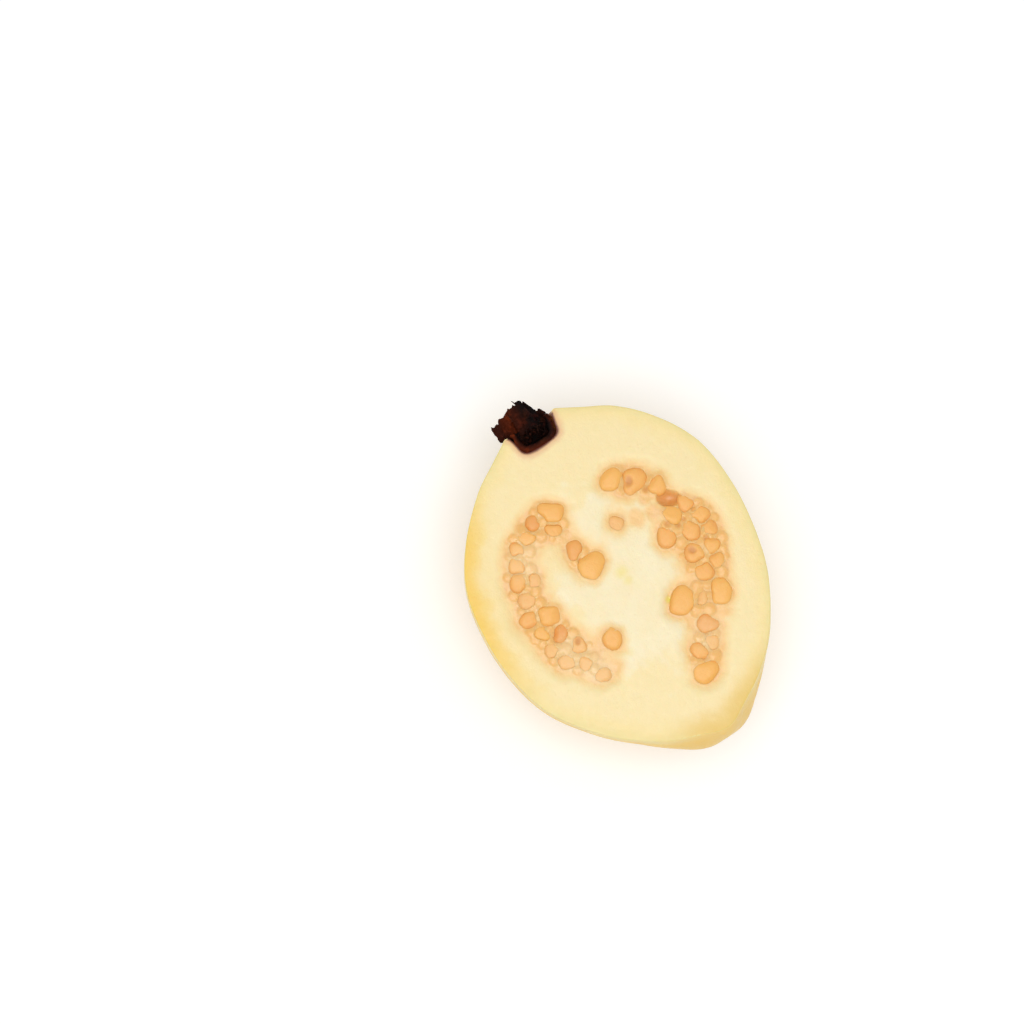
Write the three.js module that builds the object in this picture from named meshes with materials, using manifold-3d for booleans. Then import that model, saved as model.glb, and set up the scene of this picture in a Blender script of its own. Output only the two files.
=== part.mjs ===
// Half a guava, cut lengthwise and lying on its round back with the cut face up.
// Units are millimetres. +Z is up, +Y runs along the fruit to its calyx end, and the origin is
// the middle of the small flat spot that the fruit rests on.
import * as THREE from "three";
import { mergeVertices } from "three/addons/utils/BufferGeometryUtils.js";
import Module from "manifold-3d";

const wasm = await Module();
wasm.setup();

// Driving dimensions
const fruitLength = 77.4; // stem tip to calyx lip
const bellyRadius = 30.7;
const backDepth = 0.95; // the fruit is a little flatter front to back than it is wide
const stemTipY = -39.5;
const cutHeight = 30.0; // from the surface that the fruit rests on up to the cut face
const coreDepthAtCalyx = 0.6; // how far the fruit's own axis lies under the cut face, at each end
const coreDepthAtStem = 3.7;
const stemDroop = 3.4; // how much further down the stem nub hangs
const stemDroopReach = 0.1; // share of the fruit's length
const bow = 1.1; // the axis bends this far to the left at the belly,
const sway = 0.6; // swings this far to each side along the fruit,
const stemLean = 0.4; // and leans to the right at each end
const calyxLean = 0.85;
const leanReach = 0.22; // share of the fruit's length
const flatSpot = { x: -0.5, y: 0.9 }; // middle of the rest spot, in the fruit's own frame
const fitGap = 0.3; // clear space around a piece that sits in a socket
const lipShare = 0.2; // the calyx lip's radius, as a share of the belly radius
const basinShare = 0.168; // the same for the basin inside the lip
const basinDepthShare = 0.076; // how deep the basin is, as a share of the fruit's length

const calyxLipY = stemTipY + fruitLength;
const aroundSteps = 68;
const alongSteps = 44;
const farAway = 4 * bellyRadius; // safely outside the fruit

// The outline from the stem scar, round the belly, over the calyx lip and into its basin:
// [share of the fruit's length from the stem tip, share of the belly radius]
const outline = [
  [0.012, 0],
  [0.0, 0.07],
  [0.012, 0.175],
  [0.045, 0.29],
  [0.105, 0.473],
  [0.19, 0.689],
  [0.315, 0.891],
  [0.45, 0.983],
  [0.58, 1.0],
  [0.71, 0.948],
  [0.82, 0.793],
  [0.912, 0.568],
  [0.963, 0.361],
  [0.99, 0.245],
  [1.0, lipShare],
  [0.994, 0.183],
  [0.965, basinShare],
  [0.94, 0.158],
  [0.9275, 0.11],
  [1 - basinDepthShare, 0],
];

// Low lobes round the fruit: [how many, height as a share of the radius, where the first one is in
// radians]. The last two fade out away from their own end of the fruit.
const bellyLobes = [
  [2, 0.007, 0.5],
  [5, 0.006, 1.1],
];
const stemNubLobes = [4, 0.1, 0.4];
const stemNubReach = 0.09; // share of the fruit's length
const neckLobes = [5, 0.035, -0.6];
const neckReach = 0.12;

// Seeds in the cut face: [to the side, along the fruit, length, the way the long axis points in
// degrees, how far the middle is under the cut face]
const seeds = [
  // the right bank, from the calyx end to the stem end
  [9.0, 18.6, 4.6, 57, 1.1],
  [12.8, 15.6, 5.6, 60, 1.6],
  [16.7, 12.9, 3.6, 50, 0.8],
  [19.6, 6.2, 2.8, 70, 0.8],
  [15.1, 5.7, 3.6, -33, 0.8],
  [12.2, 2.5, 3.8, 65, 0.9],
  [20.4, 2.5, 3.6, -20, 0.9],
  [17.2, 0.8, 3.7, 40, 0.9],
  [20.5, -1.0, 2.7, 0, 0.7],
  [15.5, -4.0, 3.9, -50, 1.0],
  [19.0, -4.3, 2.8, 30, 0.6],
  [18.2, -7.6, 2.8, 75, 0.7],
  [14.7, -7.9, 3.4, -20, 0.9],
  [15.2, -13.3, 4.8, 50, 1.2],
  [7.5, -10.6, 5.5, 25, 1.5],
  [11.4, -12.6, 2.8, 80, 0.9],
  [9.5, -17.4, 3.6, 10, 1.2],
  [7.7, -20.9, 3.0, 60, 1.1],
  [4.7, -21.4, 3.1, -45, 1.0],
  [3.3, -25.5, 4.9, -25, 1.3],
  // the left bank, from the calyx end to the stem end
  [-5.6, 19.7, 5.0, -33, 1.3],
  [-7.2, 16.4, 2.9, -40, 0.9],
  [-9.9, 19.7, 3.2, 20, 1.0],
  [-12.6, 18.1, 2.7, -10, 0.6],
  [-15.5, 16.9, 2.7, 75, 0.7],
  [-17.4, 14.3, 3.0, 60, 0.7],
  [-19.0, 11.1, 3.3, 50, 0.8],
  [-16.5, 9.3, 2.7, 70, 0.8],
  [-19.3, 6.8, 3.7, -30, 1.1],
  [-21.4, 3.4, 3.1, 15, 1.0],
  [-17.5, 2.0, 4.5, -15, 1.0],
  [-20.7, -0.6, 2.6, -55, 0.6],
  [-17.6, -2.5, 3.5, 65, 1.1],
  [-20.8, -4.4, 2.6, 0, 0.8],
  [-16.2, -6.7, 3.3, 35, 1.1],
  [-19.5, -8.1, 3.2, -20, 1.1],
  [-16.4, -10.5, 3.1, 80, 1.0],
  [-15.4, -14.3, 3.3, -35, 1.1],
  // loners nearer to the core
  [-9.0, -9.0, 3.9, 55, 0.9],
  [-5.7, 10.3, 3.4, 70, 1.1],
  [-4.4, 5.9, 5.6, 40, 1.5],
  [4.7, 10.1, 3.2, -60, 1.1],
];
const seedWidthShare = 0.84; // of its length
const seedThicknessShare = 0.74;

// A socket whose seed has dropped out, given as a seed that sits higher
const emptySocket = [16.9, 8.9, 4.7, -33, 0];

// Dried sepals on the calyx lip. Each is a flat leaf that stands at one place round the lip, in
// degrees from the right-hand side, and at one radius. Its corners are given in its own plane as
// [along the lip, above the lip], from one end of its root to the other and back over its tip.
// Its tip leans outwards, and its sides bend in a little to follow the lip.
const sepals = [
  {
    round: 22,
    radius: 4.3,
    leaf: [[-1.6, -0.1], [0.7, -0.1], [0.6, 1.8], [-1.0, 1.4]],
    lean: -0.2,
    thickness: 0.6,
  },
  {
    round: 58,
    radius: 5.0,
    leaf: [[-1.9, 0.2], [2.3, 0.2], [2.1, 5.7], [0.3, 4.3]],
    lean: 0.4,
    thickness: 0.6,
  },
  {
    round: 88,
    radius: 3.5,
    leaf: [[-2.1, -0.1], [2.1, -0.1], [1.6, 4.4], [-1.5, 4.9]],
    lean: 0.1,
    thickness: 0.6,
  },
  {
    round: 122,
    radius: 5.1,
    leaf: [[-1.4, 0.2], [5.0, 0.3], [5.1, 2.9], [-1.3, 4.4]],
    lean: 0.3,
    thickness: 0.8,
  },
];
const sepalBend = 0.03; // inwards, per millimetre squared from the leaf's middle

// The dried lining of the calyx basin, half of a small bowl: the radius and the height from the
// lip of its outside, from the middle of the floor up to the rim, and then of its inside
const lining = [
  [0, -5.5],
  [2.6, -5.35],
  [3.9, -4.8],
  [4.6, -3.5],
  [4.6, -0.6],
  [3.8, -0.5],
  [3.6, -3.0],
  [3.0, -4.1],
  [2.0, -4.5],
  [0, -4.6],
];
const liningSteps = 28;
const liningBelowCut = 0.1;

const materials = {
  fruit: new THREE.MeshStandardMaterial({ color: "#f6dc94", roughness: 0.45 }),
  seed: new THREE.MeshStandardMaterial({ color: "#f2b268", roughness: 0.35 }),
  calyx: new THREE.MeshStandardMaterial({ color: "#2a0f08", roughness: 0.9 }),
};

const between = (from, to, share) => from + (to - from) * share;

function solidFrom(geometry) {
  const bare = geometry.clone();
  for (const name of Object.keys(bare.attributes))
    if (name !== "position") bare.deleteAttribute(name);
  const merged = mergeVertices(bare, 1e-4);
  return new wasm.Manifold(
    new wasm.Mesh({
      numProp: 3,
      vertProperties: merged.attributes.position.array,
      triVerts: new Uint32Array(merged.index.array),
    }),
  );
}

function geometryFrom(solid) {
  const mesh = solid.getMesh();
  const geometry = new THREE.BufferGeometry();
  const positions = new THREE.BufferAttribute(mesh.vertProperties, 3);
  geometry.setAttribute("position", positions);
  geometry.setIndex(new THREE.BufferAttribute(mesh.triVerts, 1));
  geometry.computeVertexNormals();
  return geometry;
}

// Moves every corner of a geometry to where move(corner) puts it.
function warp(geometry, move) {
  const positions = geometry.attributes.position;
  const corner = new THREE.Vector3();
  for (let i = 0; i < positions.count; i++) {
    corner.fromBufferAttribute(positions, i);
    move(corner);
    positions.setXYZ(i, corner.x, corner.y, corner.z);
  }
  return geometry;
}

// How much wider than the plain outline the fruit is, at an angle round it and a share along it.
function swellAt(around, along) {
  const lobe = ([count, height, start]) => height * Math.cos(count * around + start);
  const stemEnd = Math.exp(-((along / stemNubReach) ** 2));
  const neck = Math.exp(-(((1 - along) / neckReach) ** 2));
  const belly = bellyLobes.reduce((sum, each) => sum + lobe(each), 0);
  return 1 + belly + stemEnd * lobe(stemNubLobes) + neck * lobe(neckLobes);
}

// Where the fruit's own axis runs, under the cut face (z = 0).
function axisAt(y) {
  const along = (y - stemTipY) / fruitLength;
  const lean = (amount, fromEnd) => amount * Math.exp(-((fromEnd / leanReach) ** 2));
  const droop = stemDroop * Math.exp(-((along / stemDroopReach) ** 2));
  return {
    along,
    x:
      lean(stemLean, along) +
      lean(calyxLean, 1 - along) -
      bow * Math.sin(Math.PI * along) -
      sway * Math.sin(2 * Math.PI * along),
    z: -between(coreDepthAtStem, coreDepthAtCalyx, along) - droop,
  };
}

function wholeFruit() {
  const curve = new THREE.SplineCurve(
    outline.map(
      ([along, radius]) =>
        new THREE.Vector2(radius * bellyRadius, stemTipY + along * fruitLength),
    ),
  );
  const profile = curve.getSpacedPoints(alongSteps);
  profile[0].x = 0;
  profile[alongSteps].x = 0;
  const lathe = new THREE.LatheGeometry(profile, aroundSteps);
  return warp(lathe, (corner) => {
    const axis = axisAt(corner.y);
    const swell = swellAt(Math.atan2(corner.z, corner.x), axis.along);
    corner.x = corner.x * swell + axis.x;
    corner.z = corner.z * swell * backDepth + axis.z;
  });
}

// A slab wide enough to take away everything above or below one height.
function slab(bottom, top) {
  const box = new THREE.BoxGeometry(farAway, farAway, top - bottom);
  return solidFrom(box.translate(0, 0, (bottom + top) / 2));
}

function ball(halfX, halfY, halfZ, detail = 1) {
  return new THREE.IcosahedronGeometry(1, detail).scale(halfX, halfY, halfZ);
}

const seedBall = (length, extra = 0) =>
  ball(
    length / 2 + extra,
    (length * seedWidthShare) / 2 + extra,
    (length * seedThicknessShare) / 2 + extra,
  );

function seedPlace([side, along, , turn, depth]) {
  const turned = new THREE.Euler(0, 0, THREE.MathUtils.degToRad(turn));
  return new THREE.Matrix4()
    .makeRotationFromEuler(turned)
    .setPosition(side, along, -depth);
}

const sockets = () =>
  [...seeds, emptySocket].map((seed) =>
    solidFrom(seedBall(seed[2], fitGap).applyMatrix4(seedPlace(seed))),
  );

function fruitHalf() {
  let solid = solidFrom(wholeFruit());
  solid = solid.subtract(slab(0, farAway));
  solid = solid.subtract(slab(-farAway, -cutHeight));
  for (const socket of sockets()) solid = solid.subtract(socket);
  return solid;
}

const lipAxis = axisAt(calyxLipY);

function calyxCup() {
  const profile = lining.map(([radius, height]) => new THREE.Vector2(radius, height));
  const bowl = new THREE.LatheGeometry(profile, liningSteps).scale(1, 1, backDepth);
  bowl.translate(lipAxis.x, calyxLipY, lipAxis.z);
  return solidFrom(bowl).subtract(slab(-liningBelowCut, farAway));
}

function sepalGeometry({ round, radius, leaf, lean, thickness }) {
  const [rootStart, rootEnd, tipEnd, tipStart] = leaf;
  const way = -THREE.MathUtils.degToRad(round);
  const sheet = new THREE.BoxGeometry(1, 1, thickness, 6, 6, 1);
  return warp(sheet, (corner) => {
    const sideways = corner.x + 0.5;
    const upwards = corner.y + 0.5;
    const [across, height] = [0, 1].map((n) =>
      between(
        between(rootStart[n], rootEnd[n], sideways),
        between(tipStart[n], tipEnd[n], sideways),
        upwards,
      ),
    );
    const out = radius + corner.z + lean * upwards - sepalBend * across ** 2;
    corner.set(
      lipAxis.x + out * Math.cos(way) + across * Math.sin(way),
      calyxLipY + height,
      lipAxis.z + (out * Math.sin(way) - across * Math.cos(way)) * backDepth,
    );
  });
}

const guava = new THREE.Group();
guava.position.set(-flatSpot.x, -flatSpot.y, cutHeight);

function add(name, geometry, material) {
  const mesh = new THREE.Mesh(geometry, material);
  mesh.name = name;
  guava.add(mesh);
  return mesh;
}

add("fruit_half", geometryFrom(fruitHalf()), materials.fruit);
add("calyx_cup", geometryFrom(calyxCup()), materials.calyx);

sepals.forEach((sepal, i) => {
  add(`sepal_${i + 1}`, sepalGeometry(sepal), materials.calyx);
});

seeds.forEach((seed, i) => {
  const name = `seed_${String(i + 1).padStart(2, "0")}`;
  const mesh = add(name, seedBall(seed[2]), materials.seed);
  mesh.applyMatrix4(seedPlace(seed));
});

export default guava;
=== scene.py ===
import math

import bmesh
import bpy
import numpy as np
from mathutils import Matrix, Vector, kdtree, noise
from mathutils.geometry import delaunay_2d_cdt


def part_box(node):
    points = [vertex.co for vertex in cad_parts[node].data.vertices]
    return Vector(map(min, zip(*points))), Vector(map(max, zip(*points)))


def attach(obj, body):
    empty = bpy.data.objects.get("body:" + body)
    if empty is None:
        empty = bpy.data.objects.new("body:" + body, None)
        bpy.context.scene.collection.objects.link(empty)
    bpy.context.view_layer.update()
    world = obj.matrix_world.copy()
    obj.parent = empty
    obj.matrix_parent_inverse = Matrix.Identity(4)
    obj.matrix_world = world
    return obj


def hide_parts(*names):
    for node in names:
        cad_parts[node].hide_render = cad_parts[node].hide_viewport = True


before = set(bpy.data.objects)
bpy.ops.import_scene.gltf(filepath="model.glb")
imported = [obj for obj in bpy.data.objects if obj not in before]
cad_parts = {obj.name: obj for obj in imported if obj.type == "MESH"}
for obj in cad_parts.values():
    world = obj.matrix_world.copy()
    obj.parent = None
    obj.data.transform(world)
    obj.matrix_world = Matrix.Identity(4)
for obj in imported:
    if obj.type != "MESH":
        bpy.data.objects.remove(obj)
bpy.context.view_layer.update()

print("frame loaded with", len(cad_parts), "solids")

# Shapes are worked out in millimetres round the middle of the cut face, with +Y towards the calyx
# and +Z up out of the flesh.
mm = 0.001
faceMiddle = np.array([0.5, -0.9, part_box("fruit_half")[1].z / mm])


def toFrame(points):
    return (np.asarray(points, float) + faceMiddle) * mm


def fromFrame(points):
    return np.asarray(points, float) / mm - faceMiddle


def smoothStep(low, high, value):
    share = np.clip((np.asarray(value, float) - low) / (high - low), 0, 1)
    return share * share * (3 - 2 * share)


def between(start, end, share):
    return start + (end - start) * share


def fading(away, reach):
    # 1 at no distance and near 0 at twice the reach
    return np.exp(-((away / reach) ** 2))


def farFrom(points, place):
    # how far points are from a place in the cut face, and which way
    across = points[:, :2] - place[:2]
    return np.hypot(across[:, 0], across[:, 1]), np.arctan2(across[:, 1], across[:, 0])


def spot(away, radius, inner, outer):
    # 1 in the middle of a round spot, fading to 0 between two shares of its radius
    return 1 - smoothStep(inner * radius, outer * radius, away)


def noiseAt(points, size, seed, octaves=2):
    # lumps of about one size, from -1 to 1
    shift = Vector((seed * 17.3, seed * 5.1, seed * 9.7))
    return np.array([noise.fractal(Vector(p) / size + shift, 1.0, 2.0, octaves) for p in points])


def smoothLine(points, stepsEach=60):
    # a line through every point, as close steps, with the length up to each step
    points = np.array(points, float)
    padded = np.vstack([points[:1], points, points[-1:]])
    t = np.linspace(0, 1, stepsEach, endpoint=False)[:, None]
    parts = []
    for a, b, c, d in zip(padded, padded[1:], padded[2:], padded[3:]):
        into, out = (c - a) / 2, (d - b) / 2
        cubed, squared = 2 * b - 2 * c + into + out, 3 * c - 3 * b - 2 * into - out
        parts.append(cubed * t**3 + squared * t**2 + into * t + b)
    line = np.vstack(parts + [points[-1:]])
    lengths = np.r_[0, np.cumsum(np.linalg.norm(np.diff(line, axis=0), axis=1))]
    return line, lengths


def makePiece(name, points, faces, material, nodes, attributes):
    # a mesh from points in millimetres, riding on the part and standing for its solids
    mesh = bpy.data.meshes.new(name)
    mesh.from_pydata(toFrame(points).tolist(), [], faces)
    mesh.validate()
    for key, values in attributes.items():
        layer = mesh.attributes.new(key, "FLOAT", "POINT")
        layer.data.foreach_set("value", np.asarray(values, np.float32))
    shaped = bmesh.new()
    shaped.from_mesh(mesh)
    bmesh.ops.recalc_face_normals(shaped, faces=shaped.faces)
    shaped.to_mesh(mesh)
    shaped.free()
    mesh.polygons.foreach_set("use_smooth", [True] * len(mesh.polygons))
    mesh.materials.append(material)
    piece = bpy.data.objects.new(name, mesh)
    bpy.context.scene.collection.objects.link(piece)
    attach(piece, "root")
    if nodes:
        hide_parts(*nodes)
    return piece


def rgb(*levels):
    # a screen colour, 0 to 255, as the shader's own
    shares = [level / 255 for level in levels]
    linear = [c / 12.92 if c <= 0.04045 else ((c + 0.055) / 1.055) ** 2.4 for c in shares]
    return (*linear, 1.0)


def feed(tree, node, values):
    # another node's output is linked to its input, and anything else is set as the input's own value
    for name, value in values.items():
        if isinstance(value, bpy.types.NodeSocket):
            tree.links.new(value, node.inputs[name])
        else:
            node.inputs[name].default_value = value
    return node


def addNode(tree, kind, inputs=None, **settings):
    made = tree.nodes.new("ShaderNode" + kind)
    for name, value in settings.items():
        setattr(made, name, value)
    return feed(tree, made, inputs or {})


def maths(tree, operation, first, second=0.0):
    return addNode(tree, "Math", {0: first, 1: second}, operation=operation).outputs[0]


def times(tree, first, second):
    return maths(tree, "MULTIPLY", first, second)


def mixColour(tree, share, first, second):
    # 0, 6 and 7 are the mix node's sockets for a share and two colours
    return addNode(tree, "Mix", {0: share, 6: first, 7: second}, data_type="RGBA").outputs[2]


def layered(tree, colour, look, layers):
    # each layer's colour goes over those under it as far as its mask says
    for name, mask in layers:
        colour = mixColour(tree, mask, colour, look[name])
    return colour


def ramp(tree, value, low, high, start=0.0, end=1.0):
    inputs = {"Value": value, "From Min": low, "From Max": high, "To Min": start, "To Max": end}
    return addNode(tree, "MapRange", inputs, interpolation_type="SMOOTHSTEP").outputs[0]


def attribute(tree, name):
    return addNode(tree, "Attribute", attribute_name=name).outputs["Fac"]


def newGroup(name, numbers, result):
    # a shader node group that takes a place and some numbers and puts out one value
    tree = bpy.data.node_groups.new(name, "ShaderNodeTree")
    tree.interface.new_socket("Place", in_out="INPUT", socket_type="NodeSocketVector")
    for socket, value in numbers.items():
        made = tree.interface.new_socket(socket, in_out="INPUT", socket_type="NodeSocketFloat")
        made.default_value = value
    tree.interface.new_socket(result, in_out="OUTPUT", socket_type="NodeSocketFloat")
    given, leave = tree.nodes.new("NodeGroupInput"), tree.nodes.new("NodeGroupOutput")
    return tree, given.outputs, leave.inputs[result]


def useGroup(tree, group, **inputs):
    made = tree.nodes.new("ShaderNodeGroup")
    made.node_tree = group
    return feed(tree, made, inputs).outputs[0]


def scaleFor(tree, size):
    # turns a size in millimetres into a texture scale, as places are in metres
    return maths(tree, "DIVIDE", 1 / mm, size)


def blotchGroup():
    # soft patches: 0 outside them and 1 inside
    tree, given, result = newGroup("blotches", {"Size": 5.0, "Detail": 3.0, "Low": 0.4, "High": 0.6}, "Mask")
    inputs = {"Vector": given["Place"], "Scale": scaleFor(tree, given["Size"]), "Detail": given["Detail"]}
    cloud = addNode(tree, "TexNoise", inputs)
    tree.links.new(ramp(tree, cloud.outputs["Fac"], given["Low"], given["High"]), result)
    return tree


def speckGroup():
    # small round specks in a share of the cells
    tree, given, result = newGroup("specks", {"Size": 1.0, "Reach": 0.3, "Share": 0.5}, "Mask")
    inputs = {"Vector": given["Place"], "Scale": scaleFor(tree, given["Size"])}
    cells = addNode(tree, "TexVoronoi", inputs)
    pick = addNode(tree, "SeparateColor", {"Color": cells.outputs["Color"]})
    chosen = maths(tree, "LESS_THAN", pick.outputs["Red"], given["Share"])
    reach = times(tree, given["Reach"], maths(tree, "ADD", pick.outputs["Green"], 0.4))
    fade = maths(tree, "SUBTRACT", 1.0, maths(tree, "DIVIDE", cells.outputs["Distance"], reach))
    tree.links.new(times(tree, ramp(tree, fade, 0.0, 0.6), chosen), result)
    return tree


def grainGroup():
    # a fine uneven surface, as a height from 0 to 1: soft lumps with smaller cells in them
    tree, given, result = newGroup("grain", {"Size": 0.6, "Cells": 0.5}, "Height")
    place, scale = given["Place"], scaleFor(tree, given["Size"])
    soft = addNode(tree, "TexNoise", {"Vector": place, "Scale": scale, "Detail": 4.0, "Roughness": 0.6})
    finer = times(tree, scale, 1.7)
    cells = addNode(tree, "TexVoronoi", {"Vector": place, "Scale": finer}, feature="SMOOTH_F1")
    mixed = addNode(tree, "Mix", {0: given["Cells"], 2: soft.outputs["Fac"], 3: cells.outputs["Distance"]})
    tree.links.new(mixed.outputs[0], result)
    return tree


blotches, specks, grain = blotchGroup(), speckGroup(), grainGroup()


def newMaterial(name):
    # a material with its tree, its main shader and each point's own place
    material = bpy.data.materials.new(name)
    material.use_nodes = True
    tree = material.node_tree
    place = addNode(tree, "TexCoord").outputs["Object"]
    return material, tree, tree.nodes["Principled BSDF"], place


def join(tree, shader, **sockets):
    # sockets named with underscores for spaces, as Base_Color
    feed(tree, shader, {name.replace("_", " "): value for name, value in sockets.items()})


def bump(tree, height, depth, under=None):
    # depth in millimetres
    inputs = {"Height": height, "Distance": depth * mm, "Strength": 1.0}
    if under:
        inputs["Normal"] = under
    return addNode(tree, "Bump", inputs).outputs["Normal"]


print("shared shader groups made")

# The fruit's own form, as its solid has it but for a calyx basin that fits its dried lining closer:
# shares of the length from the stem tip, shares of the belly radius, and the rest in millimetres.
fruit = {
    "length": 77.4,
    "bellyRadius": 30.7,
    "backDepth": 0.95,
    "stemTipY": -39.5,
    "coreDepths": (3.7, 0.6),  # how far the axis lies under the cut face, at the stem and at the calyx
    "stemDroop": 3.4,
    "stemDroopReach": 0.1,
    "bow": 1.1,
    "sway": 0.6,
    "stemLean": 0.4,
    "calyxLean": 0.85,
    "leanReach": 0.22,
    "bellyLobes": [(2, 0.007, 0.5), (5, 0.006, 1.1)],
    "stemNubLobe": (4, 0.1, 0.4),
    "stemNubReach": 0.09,
    "neckLobe": (5, 0.035, -0.6),
    "neckReach": 0.12,
    "outline": [
        (0.012, 0), (0.0, 0.07), (0.012, 0.175), (0.045, 0.29), (0.105, 0.473), (0.19, 0.689),
        (0.315, 0.891), (0.45, 0.983), (0.58, 1.0), (0.71, 0.948), (0.82, 0.793), (0.912, 0.568),
        (0.963, 0.361), (0.99, 0.245), (1.0, 0.2), (0.994, 0.172), (0.966, 0.152), (0.946, 0.14),
        (0.9345, 0.1), (0.931, 0),
    ],
}
lipY = fruit["stemTipY"] + fruit["length"]

skin = {
    "sections": 190,
    "stepsAround": 190,
    "endSections": 12,  # extra ones where the cut closes at each end
    "endReach": 2.6,
    "restSoftness": 0.25,
    "lumps": [(9.0, 0.09), (3.2, 0.03)],  # size and height
    "lumpsStart": (4.0, 2.0),  # lumps come in this far out from the fruit's axis and below the cut
    "edgeFall": 0.3,  # how far below the cut the skin still follows its lowered edge
    "endShare": 0.1,  # of the length, which is as far as the scar and the lip's colour go
    "scarRadius": 2.1,
    "lipWidth": 2.2,
    "lipRadius": 5.4,
    "wallRadius": 5.8,  # inside this the lip's colour covers the wall of the basin too
    "anglesTried": 361,
    "halvings": 30,
}


def axisAt(y):
    # how far along the fruit a height is, as a share, and where the fruit's axis passes there
    along = (y - fruit["stemTipY"]) / fruit["length"]
    x = fruit["stemLean"] * fading(along, fruit["leanReach"])
    x = x + fruit["calyxLean"] * fading(1 - along, fruit["leanReach"])
    x = x - fruit["bow"] * np.sin(np.pi * along) - fruit["sway"] * np.sin(2 * np.pi * along)
    droop = fruit["stemDroop"] * fading(along, fruit["stemDroopReach"])
    return along, x, -between(*fruit["coreDepths"], along) - droop


def lobesAt(around, count, height, start):
    return height * np.cos(count * around + start)


def swellAt(around, along):
    # how far from round the fruit is, as a share of its radius
    belly = sum(lobesAt(around, *lobes) for lobes in fruit["bellyLobes"])
    stemNub = fading(along, fruit["stemNubReach"]) * lobesAt(around, *fruit["stemNubLobe"])
    neck = fading(1 - along, fruit["neckReach"]) * lobesAt(around, *fruit["neckLobe"])
    return 1 + belly + stemNub + neck


def onSkin(around, radius, y):
    along, x, z = axisAt(y)
    swell = swellAt(around, along) * radius
    deep = swell * fruit["backDepth"]
    return np.stack([x + swell * np.cos(around), y + 0 * around, z + deep * np.sin(around)], -1)


def highest(radii, ys):
    # the angle at which each section comes highest, and how high
    angles = np.linspace(0, np.pi, skin["anglesTried"])
    heights = onSkin(angles, radii[:, None], ys[:, None])[..., 2]
    return angles[heights.argmax(1)], heights.max(1)


def skinGrid():
    # rows of points round the fruit from one side of the cut to the other, and the rows where it opens
    outline = np.array(fruit["outline"])
    heights = fruit["stemTipY"] + outline[:, 0] * fruit["length"]
    line, lengths = smoothLine(np.c_[outline[:, 1] * fruit["bellyRadius"], heights])
    line[0, 0] = line[-1, 0] = 0
    top = highest(line[:, 0], line[:, 1])[1]
    reaching = np.flatnonzero(top > 0)
    first, last = reaching[0], reaching[-1]
    opens = np.interp(0, top[[first - 1, first]], lengths[[first - 1, first]])
    closes = np.interp(0, top[[last + 1, last]], lengths[[last + 1, last]])
    steps = np.linspace(0, lengths[-1], skin["sections"])
    reach = skin["endReach"]
    extra = reach * (np.arange(skin["endSections"]) / skin["endSections"]) ** 2
    apart = lengths[-1] / skin["sections"] * 0.5
    inner = steps[(steps > opens + reach) & (steps < closes - reach)]
    before = steps[steps < opens - apart]
    after = steps[steps > closes + apart]
    rows = np.r_[before, opens + extra, inner, closes - extra[::-1], after]
    radii, ys = np.interp(rows, lengths, line[:, 0]), np.interp(rows, lengths, line[:, 1])
    # halve the way to each crossing of the cut until it's found
    peak = highest(radii, ys)[0]
    crossings = []
    for low in (np.zeros(len(rows)), np.full(len(rows), np.pi)):
        high = peak
        for _ in range(skin["halvings"]):
            middle = (low + high) / 2
            above = onSkin(middle, radii, ys)[:, 2] > 0
            low, high = np.where(above, low, middle), np.where(above, middle, high)
        crossings.append(high)
    right, left = crossings
    share = np.linspace(0, 1, skin["stepsAround"] + 1)
    around = right[:, None] + share[None, :] * (left - 2 * np.pi - right)[:, None]
    points = onSkin(around, radii[:, None], ys[:, None])
    return points, around, radii, len(before), len(before) + 2 * skin["endSections"] + len(inner) - 1


def quads(index, around=False):
    # faces between the rows of a grid of points, without the corners that fall on one point
    faces = []
    for row, following in zip(index, index[1:]):
        for n in range(len(row) - (not around)):
            after = (n + 1) % len(row)
            corners = dict.fromkeys((int(row[n]), int(row[after]), int(following[after]), int(following[n])))
            if len(corners) > 2:
                faces.append(list(corners))
    return faces


def buildSkin():
    points, around, radii, opening, closing = skinGrid()
    rows, columns = points.shape[:2]
    index = np.arange(rows * columns).reshape(rows, columns)
    for row in range(rows):
        if row <= opening or row >= closing:
            index[row, -1] = index[row, 0]
    index[0, :], index[-1, :] = index[0, 0], index[-1, 0]
    loop = np.r_[index[opening : closing + 1, 0], index[closing - 1 : opening : -1, -1]]
    flat = points.reshape(-1, 3)
    inward = np.stack([np.cos(around), 0 * around, np.sin(around)], -1).reshape(-1, 3)
    fromAxis, underCut = skin["lumpsStart"]
    calm = smoothStep(0, fromAxis, np.repeat(radii, columns))
    for n, (size, height) in enumerate(skin["lumps"]):
        push = inward * (height * calm * noiseAt(flat, size, n + 1))[:, None]
        push[:, 2] *= smoothStep(0, underCut, -flat[:, 2])
        flat = flat + push
    flat[loop, 2] = 0
    # the back is pressed softly against what it rests on
    over = flat[:, 2] + faceMiddle[2]
    flat[:, 2] = (over + np.hypot(over, skin["restSoftness"])) / 2 - faceMiddle[2]
    return flat, quads(index), loop


print("fruit form ready")

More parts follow.
